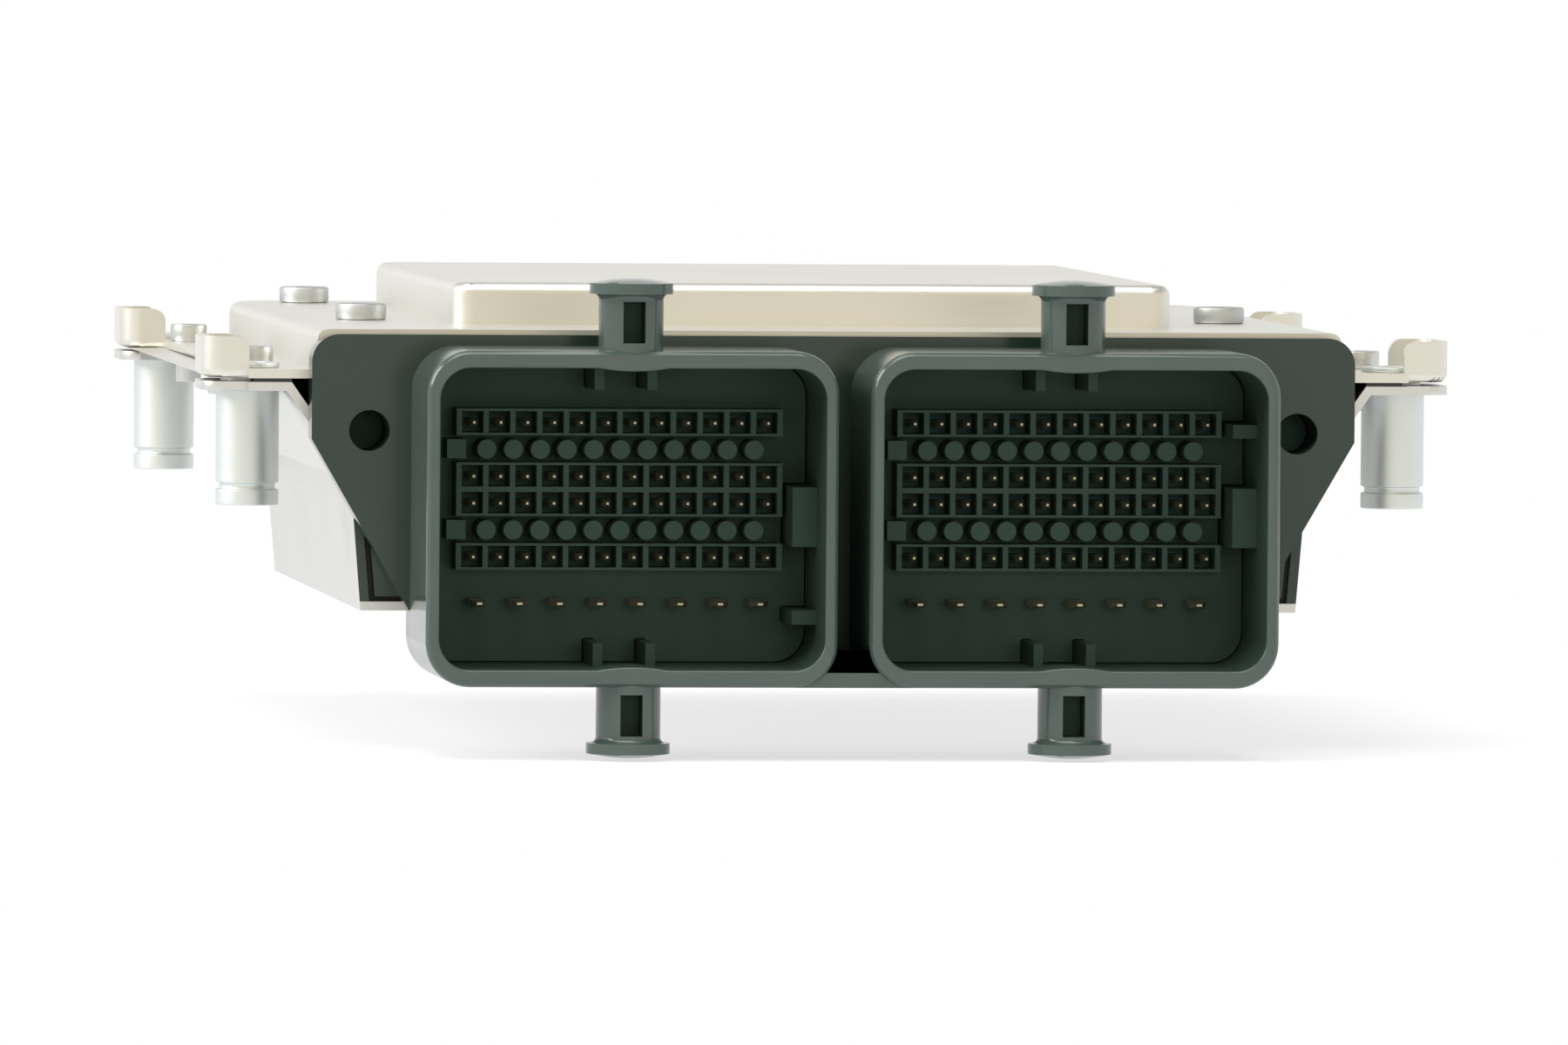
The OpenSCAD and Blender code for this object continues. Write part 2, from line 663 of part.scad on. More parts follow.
// One contact seen from the side: a tip, a run towards the board, a rise and a tail
module contact_side(z_front, z_back, bend_y, thick) {
    h = thick / 2;
    jog_y = seat_y - carrier_t / 2;
    polygon([[tip_y, z_front - h / 3], [tip_y, z_front + h / 3], [tip_y + taper_l, z_front + h],
        [jog_y - h, z_front + h], [jog_y - h, z_back + h], [bend_y - h, z_back + h],
        [bend_y - h, tail_end], [bend_y + h, tail_end], [bend_y + h, z_back - h],
        [jog_y + h, z_back - h], [jog_y + h, z_front - h], [tip_y + taper_l, z_front - h]]);
}

// The same contact seen from above, from the middle of its width: straight, with a tapered tip
module contact_plan(width, bend_y) {
    polygon([[-width / 2, tip_y + taper_l], [-width / 6, tip_y], [width / 6, tip_y],
        [width / 2, tip_y + taper_l], [width / 2, bend_y + width], [-width / 2, bend_y + width]]);
}

// Puts a piece at each place of a contact row, for the connector on the given side
module at_contacts(side, count, pitch) {
    for (k = [0:count - 1])
        translate([side * conn_span / 2 + (k - (count - 1) / 2) * pitch, 0, 0]) children();
}

// One straight-sided contact
module contact(width, thick, z_front, z_back, bend_y) {
    translate([-width / 2, 0, 0]) rotate([90, 0, 90])
        linear_extrude(width) contact_side(z_front, z_back, bend_y, thick);
}

// One contact with a four-sided tip
module tipped_contact(width, thick, z_front, z_back, bend_y) {
    intersection() {
        contact(width, thick, z_front, z_back, bend_y);
        translate([0, 0, z_front - thick])
            linear_extrude(tail_end - z_front + 2 * thick) contact_plan(width, bend_y);
    }
}

module pins(side, row) color("#c8b27a")
    at_contacts(side, pin_count, pin_pitch)
        tipped_contact(pin_w, pin_w, conn_z + pin_rows[row], conn_z + pin_rows[row],
            tail_y + row * tail_pitch);

module blades(side) color("#c8b27a")
    at_contacts(side, blade_count, blade_pitch)
        tipped_contact(blade_w, pin_w, conn_z - blade_drop, conn_z - blade_drop + blade_jog, blade_tail_y);

// Contact carrier: a flange on the seat, a plug through the collar, windows and guard posts
module contact_carrier(side) color("#1d2422") {
    window = pin_pitch - window_wall;
    field_w = pin_count * pin_pitch + window_wall;
    guard_y = tip_y + guard_setback;
    mid = (pin_count - 1) / 2;
    difference() {
        translate([side * conn_span / 2, 0, conn_z]) {
            difference() {
                stand(carrier_y, carrier_t)
                    rounded_rect(open_w - 2 * carrier_gap, open_h - 2 * carrier_gap, open_r);
                rib_room(side);
            }
            translate([-plug_w / 2 + carrier_gap, seat_y - eps, carrier_gap - plug_low])
                cube([plug_w - 2 * carrier_gap, seat_wall + collar_d,
                    plug_low + plug_top - 2 * carrier_gap]);
            for (z = pin_rows) difference() {
                translate([-field_w / 2, window_y, z - pin_pitch / 2])
                    cube([field_w, window_h + eps, pin_pitch]);
                for (k = [0:pin_count - 1])
                    translate([(k - mid) * pin_pitch - window / 2, window_y - 1, z - window / 2])
                        cube([window, window_h + 1, window]);
            }
            for (z = [pin_rows[0] - pin_pitch, pin_rows[2] - pin_pitch]) {
                for (k = [1:pin_count - 1])
                    translate([(k - mid - 1 / 2) * pin_pitch, carrier_y + eps, z])
                        rotate([90, 0, 0]) cylinder(d = guard_d, h = carrier_y - guard_y, $fn = 24);
                translate([-field_w / 2 - guard_d / 2, window_y, z - guard_d / 2])
                    cube([guard_d, window_h + eps, guard_d]);
            }
        }
        pin_holes(side);
    }
}

// Room in the carrier flange for the ribs and blocks of the opening
module rib_room(side) {
    for (d = [-carrier_gap, carrier_gap]) {
        translate([d, 0, 0]) opening_ribs(side);
        translate([0, 0, d]) opening_ribs(side);
    }
}

// Holes for all contacts of one connector, a little larger than the contacts
module pin_holes(side) {
    fit = 0.01;
    for (z = pin_rows)
        at_contacts(side, pin_count, pin_pitch) translate([0, 0, conn_z + z])
            stand(carrier_y - 1, carrier_t + seat_wall + collar_d + 2)
                square(pin_w + 2 * fit, center = true);
    at_contacts(side, blade_count, blade_pitch)
        contact(blade_w + 2 * fit, pin_w + 2 * fit, conn_z - blade_drop,
            conn_z - blade_drop + blade_jog, blade_tail_y);
}

module mounting_sleeves() color("silver") {
    groove_d = 0.35;
    swage_h = 0.5;
    at_sleeves() difference() {
        union() {
            cylinder(d = sleeve_od, h = groove_z);
            cylinder(d = sleeve_od - 2 * groove_d, h = sleeve_len);
            translate([0, 0, groove_z + groove_w])
                cylinder(d = sleeve_od, h = sleeve_len - groove_z - groove_w);
            cylinder(d = neck_od, h = screw_z + swage_h);
            translate([0, 0, screw_z]) cylinder(d = sleeve_od, h = swage_h);
        }
        translate([0, 0, -1]) cylinder(d = sleeve_bore, h = 3 * sleeve_len);
    }
}

module case_screws() color("#6c6f70") {
    drive = 1.4;
    below = 2;
    at_case_screws() difference() {
        union() {
            translate([0, 0, pan_z - below]) cylinder(d = case_screw_d, h = screw_z + below - pan_z);
            translate([0, 0, screw_z]) cylinder(d = case_head_d, h = case_head_h);
        }
        translate([0, 0, screw_z + case_head_h / 2]) cylinder(d = drive, h = case_head_h, $fn = 6);
    }
}

// Plated holes in the board for one row of tails
module tail_holes(side, count, pitch, y, d) {
    at_contacts(side, count, pitch) translate([0, y, board_z - 1])
        cylinder(d = d, h = board_t + 2, $fn = 16);
}

module circuit_board() color("#2f6b45") {
    pin_room = 2 * slip + pin_w * sqrt(2);
    blade_room = 2 * slip + sqrt(pow(blade_w, 2) + pow(pin_w, 2));
    difference() {
        translate([-board_w / 2, board_front, board_z])
            cube([board_w, board_rear - board_front, board_t]);
        for (side = [-1, 1]) {
            for (row = [0:len(pin_rows) - 1])
                tail_holes(side, pin_count, pin_pitch, tail_y + row * tail_pitch, pin_room);
            tail_holes(side, blade_count, blade_pitch, blade_tail_y, blade_room);
        }
        at_board_screws() translate([0, 0, board_z - 1])
            cylinder(d = board_screw_d + 2 * slip, h = board_t + 2);
    }
}

module board_standoffs() color("silver") {
    at_board_screws() translate([0, 0, board_top]) difference() {
        cylinder(d = 2 * board_screw_d, h = standoff_h);
        translate([0, 0, -1]) cylinder(d = board_screw_d, h = standoff_h + 2);
    }
}

module board_screws() color("#5c5f61") {
    drive = 2;
    below = board_nut_h + 4 * slip;
    at_board_screws() difference() {
        union() {
            translate([0, 0, level_z]) cylinder(d = board_head_d, h = board_head_h);
            translate([0, 0, board_z - below])
                cylinder(d = board_screw_d, h = level_z - board_z + below + eps);
        }
        translate([0, 0, level_z + board_head_h / 3]) cylinder(d = drive, h = board_head_h, $fn = 6);
    }
}

module board_nuts() color("silver")
    at_board_screws() translate([0, 0, board_z - board_nut_h]) difference() {
        cylinder(d = 2 * board_screw_d, h = board_nut_h, $fn = 6);
        translate([0, 0, -1]) cylinder(d = board_screw_d, h = board_nut_h + 2);
    }

// A chip package on the board, with its body and a flat row of leads on two sides
module chip(x, y, w, d, h) {
    lead_t = 0.3;
    end = 0.5;
    translate([x - w / 2, y - d / 2, board_top + lead_t / 3]) cube([w, d, h - lead_t / 3]);
    translate([x - w / 2 - lead_l, y - d / 2 + end, board_top]) cube([w + 2 * lead_l, d - 2 * end, lead_t]);
}

module main_processor() color("#202224") chip(0, chips_y, processor_w, processor_w, chip_h);

module memory_chip() color("#202224")
    chip((processor_w + memory_w) / 2 + chip_gap, chips_y, memory_w, memory_w, chip_h);

module supply_regulator() color("#202224")
    chip(-(processor_w + regulator_w) / 2 - chip_gap, chips_y, regulator_w, regulator_w, chip_h);

// Puts a piece at each driver chip
module at_drivers() {
    for (x = [-1, 1], y = [-1, 0, 1]) translate([x * driver_x, chips_y + y * driver_pitch]) children();
}

module driver_chips() color("#202224")
    at_drivers() chip(0, 0, driver_w, driver_d, chip_h);

module thermal_pads() color("#9fb4c4")
    at_drivers() translate([-driver_w / 2, -driver_d / 2, board_top + chip_h])
        cube([driver_w, driver_d, standoff_h - chip_h]);

module power_transistors() color("#202224")
    for (k = [0:5])
        translate([(k - 2.5) * transistor_pitch - transistor_w / 2,
            board_rear - transistor_edge - transistor_d, board_z - transistor_h])
            cube([transistor_w, transistor_d, transistor_h]);

module storage_capacitors() color("#33384a")
    for (k = [1, 2])
        translate([-choke_w / 2 - (k - 1 / 4) * capacitor_pitch, tall_y - capacitor_d / 2,
            board_z - capacitor_h])
            cylinder(d = capacitor_d, h = capacitor_h);

module power_choke() color("#4a4d50")
    translate([-choke_w / 2, tall_y - choke_w, board_z - choke_h]) cube([choke_w, choke_w, choke_h]);

module clock_crystal() color("silver")
    translate([0, chips_y + processor_w / 2 + crystal_gap, board_top + crystal_h / 2])
        stand(0, crystal_w) rounded_rect(crystal_l, crystal_h, crystal_h / 3);

connector_header();
contact_carrier(-1);  // left_contact_carrier
contact_carrier(1);  // right_contact_carrier
pins(-1, 0);  // left_pins_row_1
pins(-1, 1);  // left_pins_row_2
pins(-1, 2);  // left_pins_row_3
pins(-1, 3);  // left_pins_row_4
blades(-1);  // left_blades
pins(1, 0);  // right_pins_row_1
pins(1, 1);  // right_pins_row_2
pins(1, 2);  // right_pins_row_3
pins(1, 3);  // right_pins_row_4
blades(1);  // right_blades
heat_sink_cover();
base_pan();
case_seal();
header_seal();
mounting_sleeves();
case_screws();
circuit_board();
board_standoffs();
board_screws();
board_nuts();
main_processor();
memory_chip();
supply_regulator();
driver_chips();
thermal_pads();
power_transistors();
storage_capacitors();
power_choke();
clock_crystal();
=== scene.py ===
# Engine control unit in a pressed aluminium case, with a moulded front and two shrouded sockets
import json
import math

import bpy
from mathutils import Matrix, Vector


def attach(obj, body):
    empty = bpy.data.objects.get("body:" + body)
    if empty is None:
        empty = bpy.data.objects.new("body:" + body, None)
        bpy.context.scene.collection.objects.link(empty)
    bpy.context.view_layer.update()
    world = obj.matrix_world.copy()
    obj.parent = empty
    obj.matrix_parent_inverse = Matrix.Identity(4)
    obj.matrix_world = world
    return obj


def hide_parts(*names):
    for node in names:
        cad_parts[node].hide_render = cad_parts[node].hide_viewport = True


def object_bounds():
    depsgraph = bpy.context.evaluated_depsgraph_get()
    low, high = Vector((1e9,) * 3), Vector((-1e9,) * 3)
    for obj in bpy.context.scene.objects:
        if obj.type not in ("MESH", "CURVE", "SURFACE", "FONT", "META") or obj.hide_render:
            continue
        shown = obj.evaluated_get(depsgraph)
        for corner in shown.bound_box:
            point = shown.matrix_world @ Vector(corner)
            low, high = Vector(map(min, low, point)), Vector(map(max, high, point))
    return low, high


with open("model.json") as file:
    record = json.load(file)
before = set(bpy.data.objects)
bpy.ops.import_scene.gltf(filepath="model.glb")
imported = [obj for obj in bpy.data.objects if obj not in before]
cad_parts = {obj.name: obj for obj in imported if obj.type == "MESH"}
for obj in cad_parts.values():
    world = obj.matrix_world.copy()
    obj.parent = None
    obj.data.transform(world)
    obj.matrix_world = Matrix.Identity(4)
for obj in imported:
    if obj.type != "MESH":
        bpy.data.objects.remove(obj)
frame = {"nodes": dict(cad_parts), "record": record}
cad_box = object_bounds()

MM = 0.001
# Planes of the part along Y and the connector axis along Z, in millimetres
RIM_Y = -70.2
PLATE_Y = -54.7
CONNECTOR_Z = -0.3
# Sockets, how far the painted shade reaches into them, and the gap between their shrouds, in millimetres
SOCKET_X = 20.95
SOCKET_W = 36.4
SOCKET_H = 28.3
SOCKET_START = RIM_Y + 0.28
SOCKET_END = PLATE_Y + 8
OPEN_R = 2.9
SHROUD_GAP = 3
GAP_START = RIM_Y + 1.5
GAP_END = PLATE_Y + 0.1
# Slots of the lever posts, and the heights off the connector axis between which they lie, in millimetres
SLOT_W = 2.1
SLOT_D = 3.35
SLOT_START = RIM_Y + 0.5
SLOT_END = RIM_Y + SLOT_D + 0.4
SLOT_LOW = SOCKET_H / 2 + 2
SLOT_HIGH = 21
# Plain holes of the plate, in millimetres
HOLE_X = 44.3
HOLE_Z = 7.4
HOLE_D = 3.9
HOLE_START = PLATE_Y + 0.32
# Underside and side of the cover flange, and the sleeves under its ears, in millimetres
COVER_Z = 12.2
FLANGE_X = 55.5
SLEEVE_X = 55
SLEEVE_Y = 45
SLEEVE_REACH = 4.4
# Front cut edge of the pan, and the heights between which it carries sealant, in millimetres
PAN_Y = -51.5
SEALANT_Z = (-8.9, 2.6)
# Distances within which points merge, lie on a plane or lie on a wall, in millimetres
MERGE = 0.004
ON_PLANE = 0.01
ON_BORE = 0.02
ON_WALL = 0.05
# Angles in degrees: faces that lie flat together, edges that are broken, faces that shade as one
FLAT_ANGLE = 1
SHARP_ANGLE = 35
SMOOTH_ANGLE = 32


# Selection and small helpers
def deselect_all():
    if bpy.context.object and bpy.context.object.mode != "OBJECT":
        bpy.ops.object.mode_set(mode="OBJECT")
    bpy.ops.object.select_all(action="DESELECT")


def take(piece):
    deselect_all()
    piece.select_set(True)
    bpy.context.view_layer.objects.active = piece


def apply_modifier(piece, kind, **settings):
    take(piece)
    modifier = piece.modifiers.new(kind.lower(), kind)
    for name, value in settings.items():
        setattr(modifier, name, value)
    bpy.ops.object.modifier_apply(modifier=modifier.name)


# An sRGB hex colour in linear values
def linear(code):
    channels = []
    for k in (1, 3, 5):
        v = int(code[k:k + 2], 16) / 255
        channels.append(v / 12.92 if v <= 0.04045 else ((v + 0.055) / 1.055) ** 2.4)
    return (*channels, 1.0)


# Adds one node with its settings, the values of its sockets and its links
def add(tree, kind, values=None, links=None, **settings):
    made = tree.nodes.new(kind)
    for name, value in settings.items():
        setattr(made, name, value)
    for socket, value in (values or {}).items():
        made.inputs[socket].default_value = value
    for socket, source in (links or {}).items():
        tree.links.new(source, made.inputs[socket])
    return made


def blank_material(name):
    material = bpy.data.materials.new(name)
    material.use_nodes = True
    material.node_tree.nodes.clear()
    return material, material.node_tree


# Sockets of a Mix node in colour mode: its factor, its two colours and its result
FACTOR = 0
FIRST = 6
SECOND = 7
MIXED = 2
# How much of a surface is metal
METAL = 1.0
NO_METAL = 0.0


# A finish with fine grain and broad cloudiness.
# Real grain is finer than grain_mm: it is drawn as coarse as it needs to show.
def grained_finish(name, base, tint, metallic, rough, grain_mm, bump, stretch=(1, 1, 1), specular=0.5):
    cloud_mm = 14
    depth_mm = 0.05
    material, tree = blank_material(name)
    place = add(tree, "ShaderNodeTexCoord").outputs["Object"]
    drawn = add(tree, "ShaderNodeMapping", {"Scale": stretch}, {"Vector": place}).outputs[0]
    grain = add(tree, "ShaderNodeTexNoise", {"Scale": 1 / (grain_mm * MM), "Detail": 3.0},
        {"Vector": drawn}).outputs["Fac"]
    cloud = add(tree, "ShaderNodeTexNoise", {"Scale": 1 / (cloud_mm * MM), "Detail": 2.0},
        {"Vector": place}).outputs["Fac"]
    colour = add(tree, "ShaderNodeMix", {FIRST: linear(base), SECOND: linear(tint)}, {FACTOR: cloud},
        data_type="RGBA").outputs[MIXED]
    spread = add(tree, "ShaderNodeMapRange", {"To Min": rough[0], "To Max": rough[1]},
        {"Value": grain}).outputs[0]
    relief = add(tree, "ShaderNodeBump", {"Strength": bump, "Distance": depth_mm * MM},
        {"Height": grain}).outputs[0]
    shader = add(tree, "ShaderNodeBsdfPrincipled", {"Metallic": metallic, "Specular IOR Level": specular},
        {"Base Color": colour, "Roughness": spread, "Normal": relief}).outputs[0]
    add(tree, "ShaderNodeOutputMaterial", links={"Surface": shader})
    return material


# Glass-filled nylon, moulded: a dark grey-green black with an eroded grain, drawn coarse enough to show.
# The shrouds and posts are painted paler than the plate. This is painted light, standing in for the brighter
# light on them; the plate stays dark.
def moulded_nylon():
    cloud_mm = 9
    grain_mm = 0.3
    depth_mm = 0.04
    light_start = PLATE_Y - 0.1
    light_full = PLATE_Y - 1
    material, tree = blank_material("moulded_glass_filled_nylon")
    place = add(tree, "ShaderNodeTexCoord").outputs["Object"]
    axes = add(tree, "ShaderNodeSeparateXYZ", links={"Vector": place}).outputs
    # Painted light: full on the shrouds and posts in front of the plate, none on the plate
    shroud_light = add(tree, "ShaderNodeMapRange", {"From Min": light_start * MM, "From Max": light_full * MM},
        {"Value": axes["Y"]}).outputs[0]
    cloud = add(tree, "ShaderNodeTexNoise", {"Scale": 1 / (cloud_mm * MM), "Detail": 4.0},
        {"Vector": place}).outputs["Fac"]
    grain = add(tree, "ShaderNodeTexNoise", {"Scale": 1 / (grain_mm * MM), "Detail": 2.0},
        {"Vector": place}).outputs["Fac"]
    dark = add(tree, "ShaderNodeMix", {FIRST: linear("#1b2b22"), SECOND: linear("#233329")}, {FACTOR: cloud},
        data_type="RGBA").outputs[MIXED]
    pale = add(tree, "ShaderNodeMix", {FIRST: linear("#3b4843"), SECOND: linear("#46544d")}, {FACTOR: cloud},
        data_type="RGBA").outputs[MIXED]
    colour = add(tree, "ShaderNodeMix", links={FACTOR: shroud_light, FIRST: dark, SECOND: pale},
        data_type="RGBA").outputs[MIXED]
    rough = add(tree, "ShaderNodeMapRange", {"To Min": 0.1, "To Max": 0.2}, {"Value": grain}).outputs[0]
    relief = add(tree, "ShaderNodeBump", {"Strength": 0.03, "Distance": depth_mm * MM},
        {"Height": grain}).outputs[0]
    shader = add(tree, "ShaderNodeBsdfPrincipled", {"Specular IOR Level": 0.5, "IOR": 1.53},
        {"Base Color": colour, "Roughness": rough, "Normal": relief}).outputs[0]
    add(tree, "ShaderNodeOutputMaterial", links={"Surface": shader})
    return material


# The same nylon in the sockets, slots and holes and between the shrouds, matt from the spark-eroded cores.
# Its set colour there is painted shade, darker than the painted light on the shrouds.
RECESS_SHADE = grained_finish("nylon_with_painted_recess_shade", "#28392f", "#304237", NO_METAL,
    rough=(0.55, 0.7), grain_mm=0.4, bump=0.08, specular=0.2)
# Flanks of the contact windows and posts, in a lighter colour. This is painted light that lifts the shade in
# the deep windows.
FLANK_LIGHT = grained_finish("pbt_with_painted_flank_light", "#384b41", "#405449", NO_METAL,
    rough=(0.5, 0.65), grain_mm=0.4, bump=0.08, specular=0.2)
# Black sealant on the cut edges of the pan beside the collar, smooth and shiny
SEALANT = grained_finish("cured_black_sealant", "#1f2f26", "#27382e", NO_METAL,
    rough=(0.15, 0.3), grain_mm=0.4, bump=0.05)

FINISHES = {
    "header_plastic": moulded_nylon(),
    # Moulded PBT carrier, deep in the sockets: almost black with a green cast, low gloss
    "carrier_plastic": grained_finish("moulded_black_pbt", "#2b3d33", "#33463b", NO_METAL,
        rough=(0.5, 0.65), grain_mm=0.4, bump=0.1, specular=0.2),
    # Gold-flashed brass contacts: small warm glints at the tips
    "contact_metal": grained_finish("gold_flashed_brass", "#b0a88e", "#c2bba4", METAL,
        rough=(0.35, 0.5), grain_mm=0.3, bump=0.08),
    # Pressed aluminium sheet with a faint yellow conversion film and rolling lines across
    "cover_aluminium": grained_finish("rolled_aluminium_cover", "#dcdad2", "#e5e3dc", METAL,
        rough=(0.32, 0.46), grain_mm=0.35, bump=0.12, stretch=(0.04, 1, 1)),
    # Pressed aluminium pan: plainer, a little colder, with rolling lines from front to back
    "pan_aluminium": grained_finish("rolled_aluminium_pan", "#cfd0ce", "#dadad8", METAL,
        rough=(0.28, 0.44), grain_mm=0.35, bump=0.12, stretch=(1, 0.04, 1)),
    # Nitrile rubber seal: flat dark grey
    "seal_rubber": grained_finish("nitrile_rubber", "#2c2d2c", "#373836", NO_METAL,
        rough=(0.7, 0.85), grain_mm=0.5, bump=0.2, specular=0.3),
    # Zinc-plated turned steel sleeves: light grey, with turning rings round the axis
    "sleeve_steel": grained_finish("zinc_plated_turned_steel", "#d6dbd9", "#e0e4e2", METAL,
        rough=(0.4, 0.54), grain_mm=0.3, bump=0.1, stretch=(0.05, 0.05, 1)),
    # Zinc-plated steel screws on the cover: pale grey heads
    "screw_steel": grained_finish("zinc_plated_steel", "#b9bcbc", "#c8cbcb", METAL,
        rough=(0.4, 0.55), grain_mm=0.3, bump=0.1),
    # Glass-epoxy laminate under a green solder mask: glossy
    "board_laminate": grained_finish("masked_glass_epoxy", "#1f5a38", "#2a6b45", NO_METAL,
        rough=(0.25, 0.4), grain_mm=0.6, bump=0.1),
    # Tin-plated steel small parts: bright pale grey
    "plated_steel": grained_finish("tin_plated_steel", "#c6c7c6", "#d6d7d6", METAL,
        rough=(0.25, 0.4), grain_mm=0.4, bump=0.1),
    # Moulded epoxy chip packages: matt black
    "chip_plastic": grained_finish("moulded_epoxy", "#1d1e20", "#26282a", NO_METAL,
        rough=(0.5, 0.65), grain_mm=0.3, bump=0.1),
    # Filled silicone pads that carry heat to the cover: dull blue-grey
    "pad_silicone": grained_finish("filled_silicone", "#8fa5b5", "#a3b7c4", NO_METAL,
        rough=(0.6, 0.75), grain_mm=0.6, bump=0.1),
    # Heat-shrunk sleeve on the capacitors: dark blue with a sheen
    "capacitor_sleeve": grained_finish("shrunk_polymer_sleeve", "#232840", "#2d3350", NO_METAL,
        rough=(0.3, 0.45), grain_mm=0.5, bump=0.05),
    # Sintered ferrite choke: matt dark grey
    "choke_ferrite": grained_finish("sintered_ferrite", "#37393b", "#454749", NO_METAL,
        rough=(0.55, 0.7), grain_mm=0.5, bump=0.15),
}


def paint(piece, slot):
    piece.data.materials.clear()
    piece.data.materials.append(FINISHES[slot])


# Rounds the edges that a test on both end points, in millimetres, picks out
def round_edges(piece, chosen, width_mm, segments):
    take(piece)
    bpy.ops.object.mode_set(mode="EDIT")
    bpy.ops.mesh.select_mode(type="EDGE")
    bpy.ops.mesh.select_all(action="DESELECT")
    bpy.ops.object.mode_set(mode="OBJECT")
    points = piece.data.vertices
    for edge in piece.data.edges:
        edge.select = chosen(points[edge.vertices[0]].co / MM, points[edge.vertices[1]].co / MM)
    bpy.ops.object.mode_set(mode="EDIT")
    bpy.ops.mesh.bevel(offset=width_mm * MM, segments=segments, affect="EDGES", clamp_overlap=False)
    bpy.ops.object.mode_set(mode="OBJECT")


# The inner edges of both openings are rounded for the plugs, also where the walls thicken behind the posts
def round_openings(piece):
    thickening = 0.45

    def inner(a, b):
        middle = (a + b) / 2
        off = abs(abs(middle.x) - SOCKET_X) - SOCKET_W / 2 + OPEN_R
        up = abs(middle.z - CONNECTOR_Z) - SOCKET_H / 2 + OPEN_R
        on_rim = max(abs(a.y - RIM_Y), abs(b.y - RIM_Y)) < ON_PLANE
        return on_rim and abs(math.hypot(max(off, 0), max(up, 0)) - OPEN_R) < thickening

    round_edges(piece, inner, width_mm=0.25, segments=3)


# The turned-up lips leave the ears in a round bend; the holes over the sleeves keep their edges
def round_lips(piece):
    inside = FLANGE_X - 0.02
    beyond = FLANGE_X + 0.2

    def bend(a, b):
        middle = (a + b) / 2
        below = max(abs(a.z - COVER_Z), abs(b.z - COVER_Z)) < ON_PLANE
        outside = min(abs(a.x), abs(b.x)) > inside and max(abs(a.x), abs(b.x)) > beyond
        from_sleeve = abs(abs(middle.y) - SLEEVE_Y) + abs(abs(middle.x) - SLEEVE_X)
        return below and outside and from_sleeve > SLEEVE_REACH

    round_edges(piece, bend, width_mm=0.8, segments=4)


# The front cut edge of the pan is divided where the sealant on it ends
def divide_mouth(piece):
    take(piece)
    for z in SEALANT_Z:
        bpy.ops.object.mode_set(mode="EDIT")
        bpy.ops.mesh.select_all(action="SELECT")
        bpy.ops.mesh.bisect(plane_co=(0, 0, z * MM), plane_no=(0, 0, 1))
        bpy.ops.object.mode_set(mode="OBJECT")


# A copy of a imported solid, merged, shaped where a function is given, and with its sharp edges broken
def broken_edges(node, name, slot, width_mm, segments=2, shaped=None):
    mesh = frame["nodes"][node].data.copy()
    piece = bpy.data.objects.new(name, mesh)
    bpy.context.scene.collection.objects.link(piece)
    take(piece)
    bpy.ops.mesh.customdata_custom_splitnormals_clear()
    bpy.ops.object.mode_set(mode="EDIT")
    bpy.ops.mesh.select_all(action="SELECT")
    bpy.ops.mesh.remove_doubles(threshold=MERGE * MM)
    bpy.ops.mesh.dissolve_limited(angle_limit=math.radians(FLAT_ANGLE))
    bpy.ops.object.mode_set(mode="OBJECT")
    if shaped:
        shaped(piece)
    apply_modifier(piece, "BEVEL", width=width_mm * MM, segments=segments, limit_method="ANGLE",
        angle_limit=math.radians(SHARP_ANGLE), use_clamp_overlap=True, harden_normals=False)
    bpy.ops.object.shade_smooth_by_angle(angle=math.radians(SMOOTH_ANGLE))
    apply_modifier(piece, "WEIGHTED_NORMAL", keep_sharp=True)
    paint(piece, slot)
    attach(piece, "root")
    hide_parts(node)
    return piece


# Gives a second finish to the faces that a test on their middle, in millimetres, and their normal picks out
def finish_faces(piece, finish, chosen):
    piece.data.materials.append(finish)
    for face in piece.data.polygons:
        if chosen(face.center / MM, face.normal):
            face.material_index = len(piece.data.materials) - 1


# Faces of the moulding that take the painted shade: in the sockets, slots and holes, and between the shrouds
def in_recess(middle, normal):
    off = abs(abs(middle.x) - SOCKET_X)
    up = abs(middle.z - CONNECTOR_Z)
    gap_reach = SHROUD_GAP / 2 + 0.3
    across = abs(normal.x) > 0.7
    in_socket = off < SOCKET_W / 2 + ON_WALL and up < SOCKET_H / 2 + ON_WALL
    in_slot = off < SLOT_W / 2 + ON_WALL and SLOT_LOW < up < SLOT_HIGH
    in_hole = math.hypot(abs(middle.x) - HOLE_X, middle.z - HOLE_Z) < HOLE_D / 2 + ON_BORE
    in_gap = abs(middle.x) < gap_reach and across
    return (in_socket and SOCKET_START < middle.y < SOCKET_END
        or in_slot and SLOT_START < middle.y < SLOT_END
        or in_hole and middle.y > HOLE_START
        or in_gap and GAP_START < middle.y < GAP_END)


# The cut edge of the pan on both sides of the collar
def on_sealed_edge(middle, normal):
    faces_forward = normal.y < -0.9
    at_mouth = middle.y < PAN_Y + 0.5
    return faces_forward and at_mouth and SEALANT_Z[0] < middle.z < SEALANT_Z[1]


# Walls of the contact windows and of the round posts between them, which run along Y; they take the painted
# light
def on_flank(middle, normal):
    return abs(normal.y) < 0.3


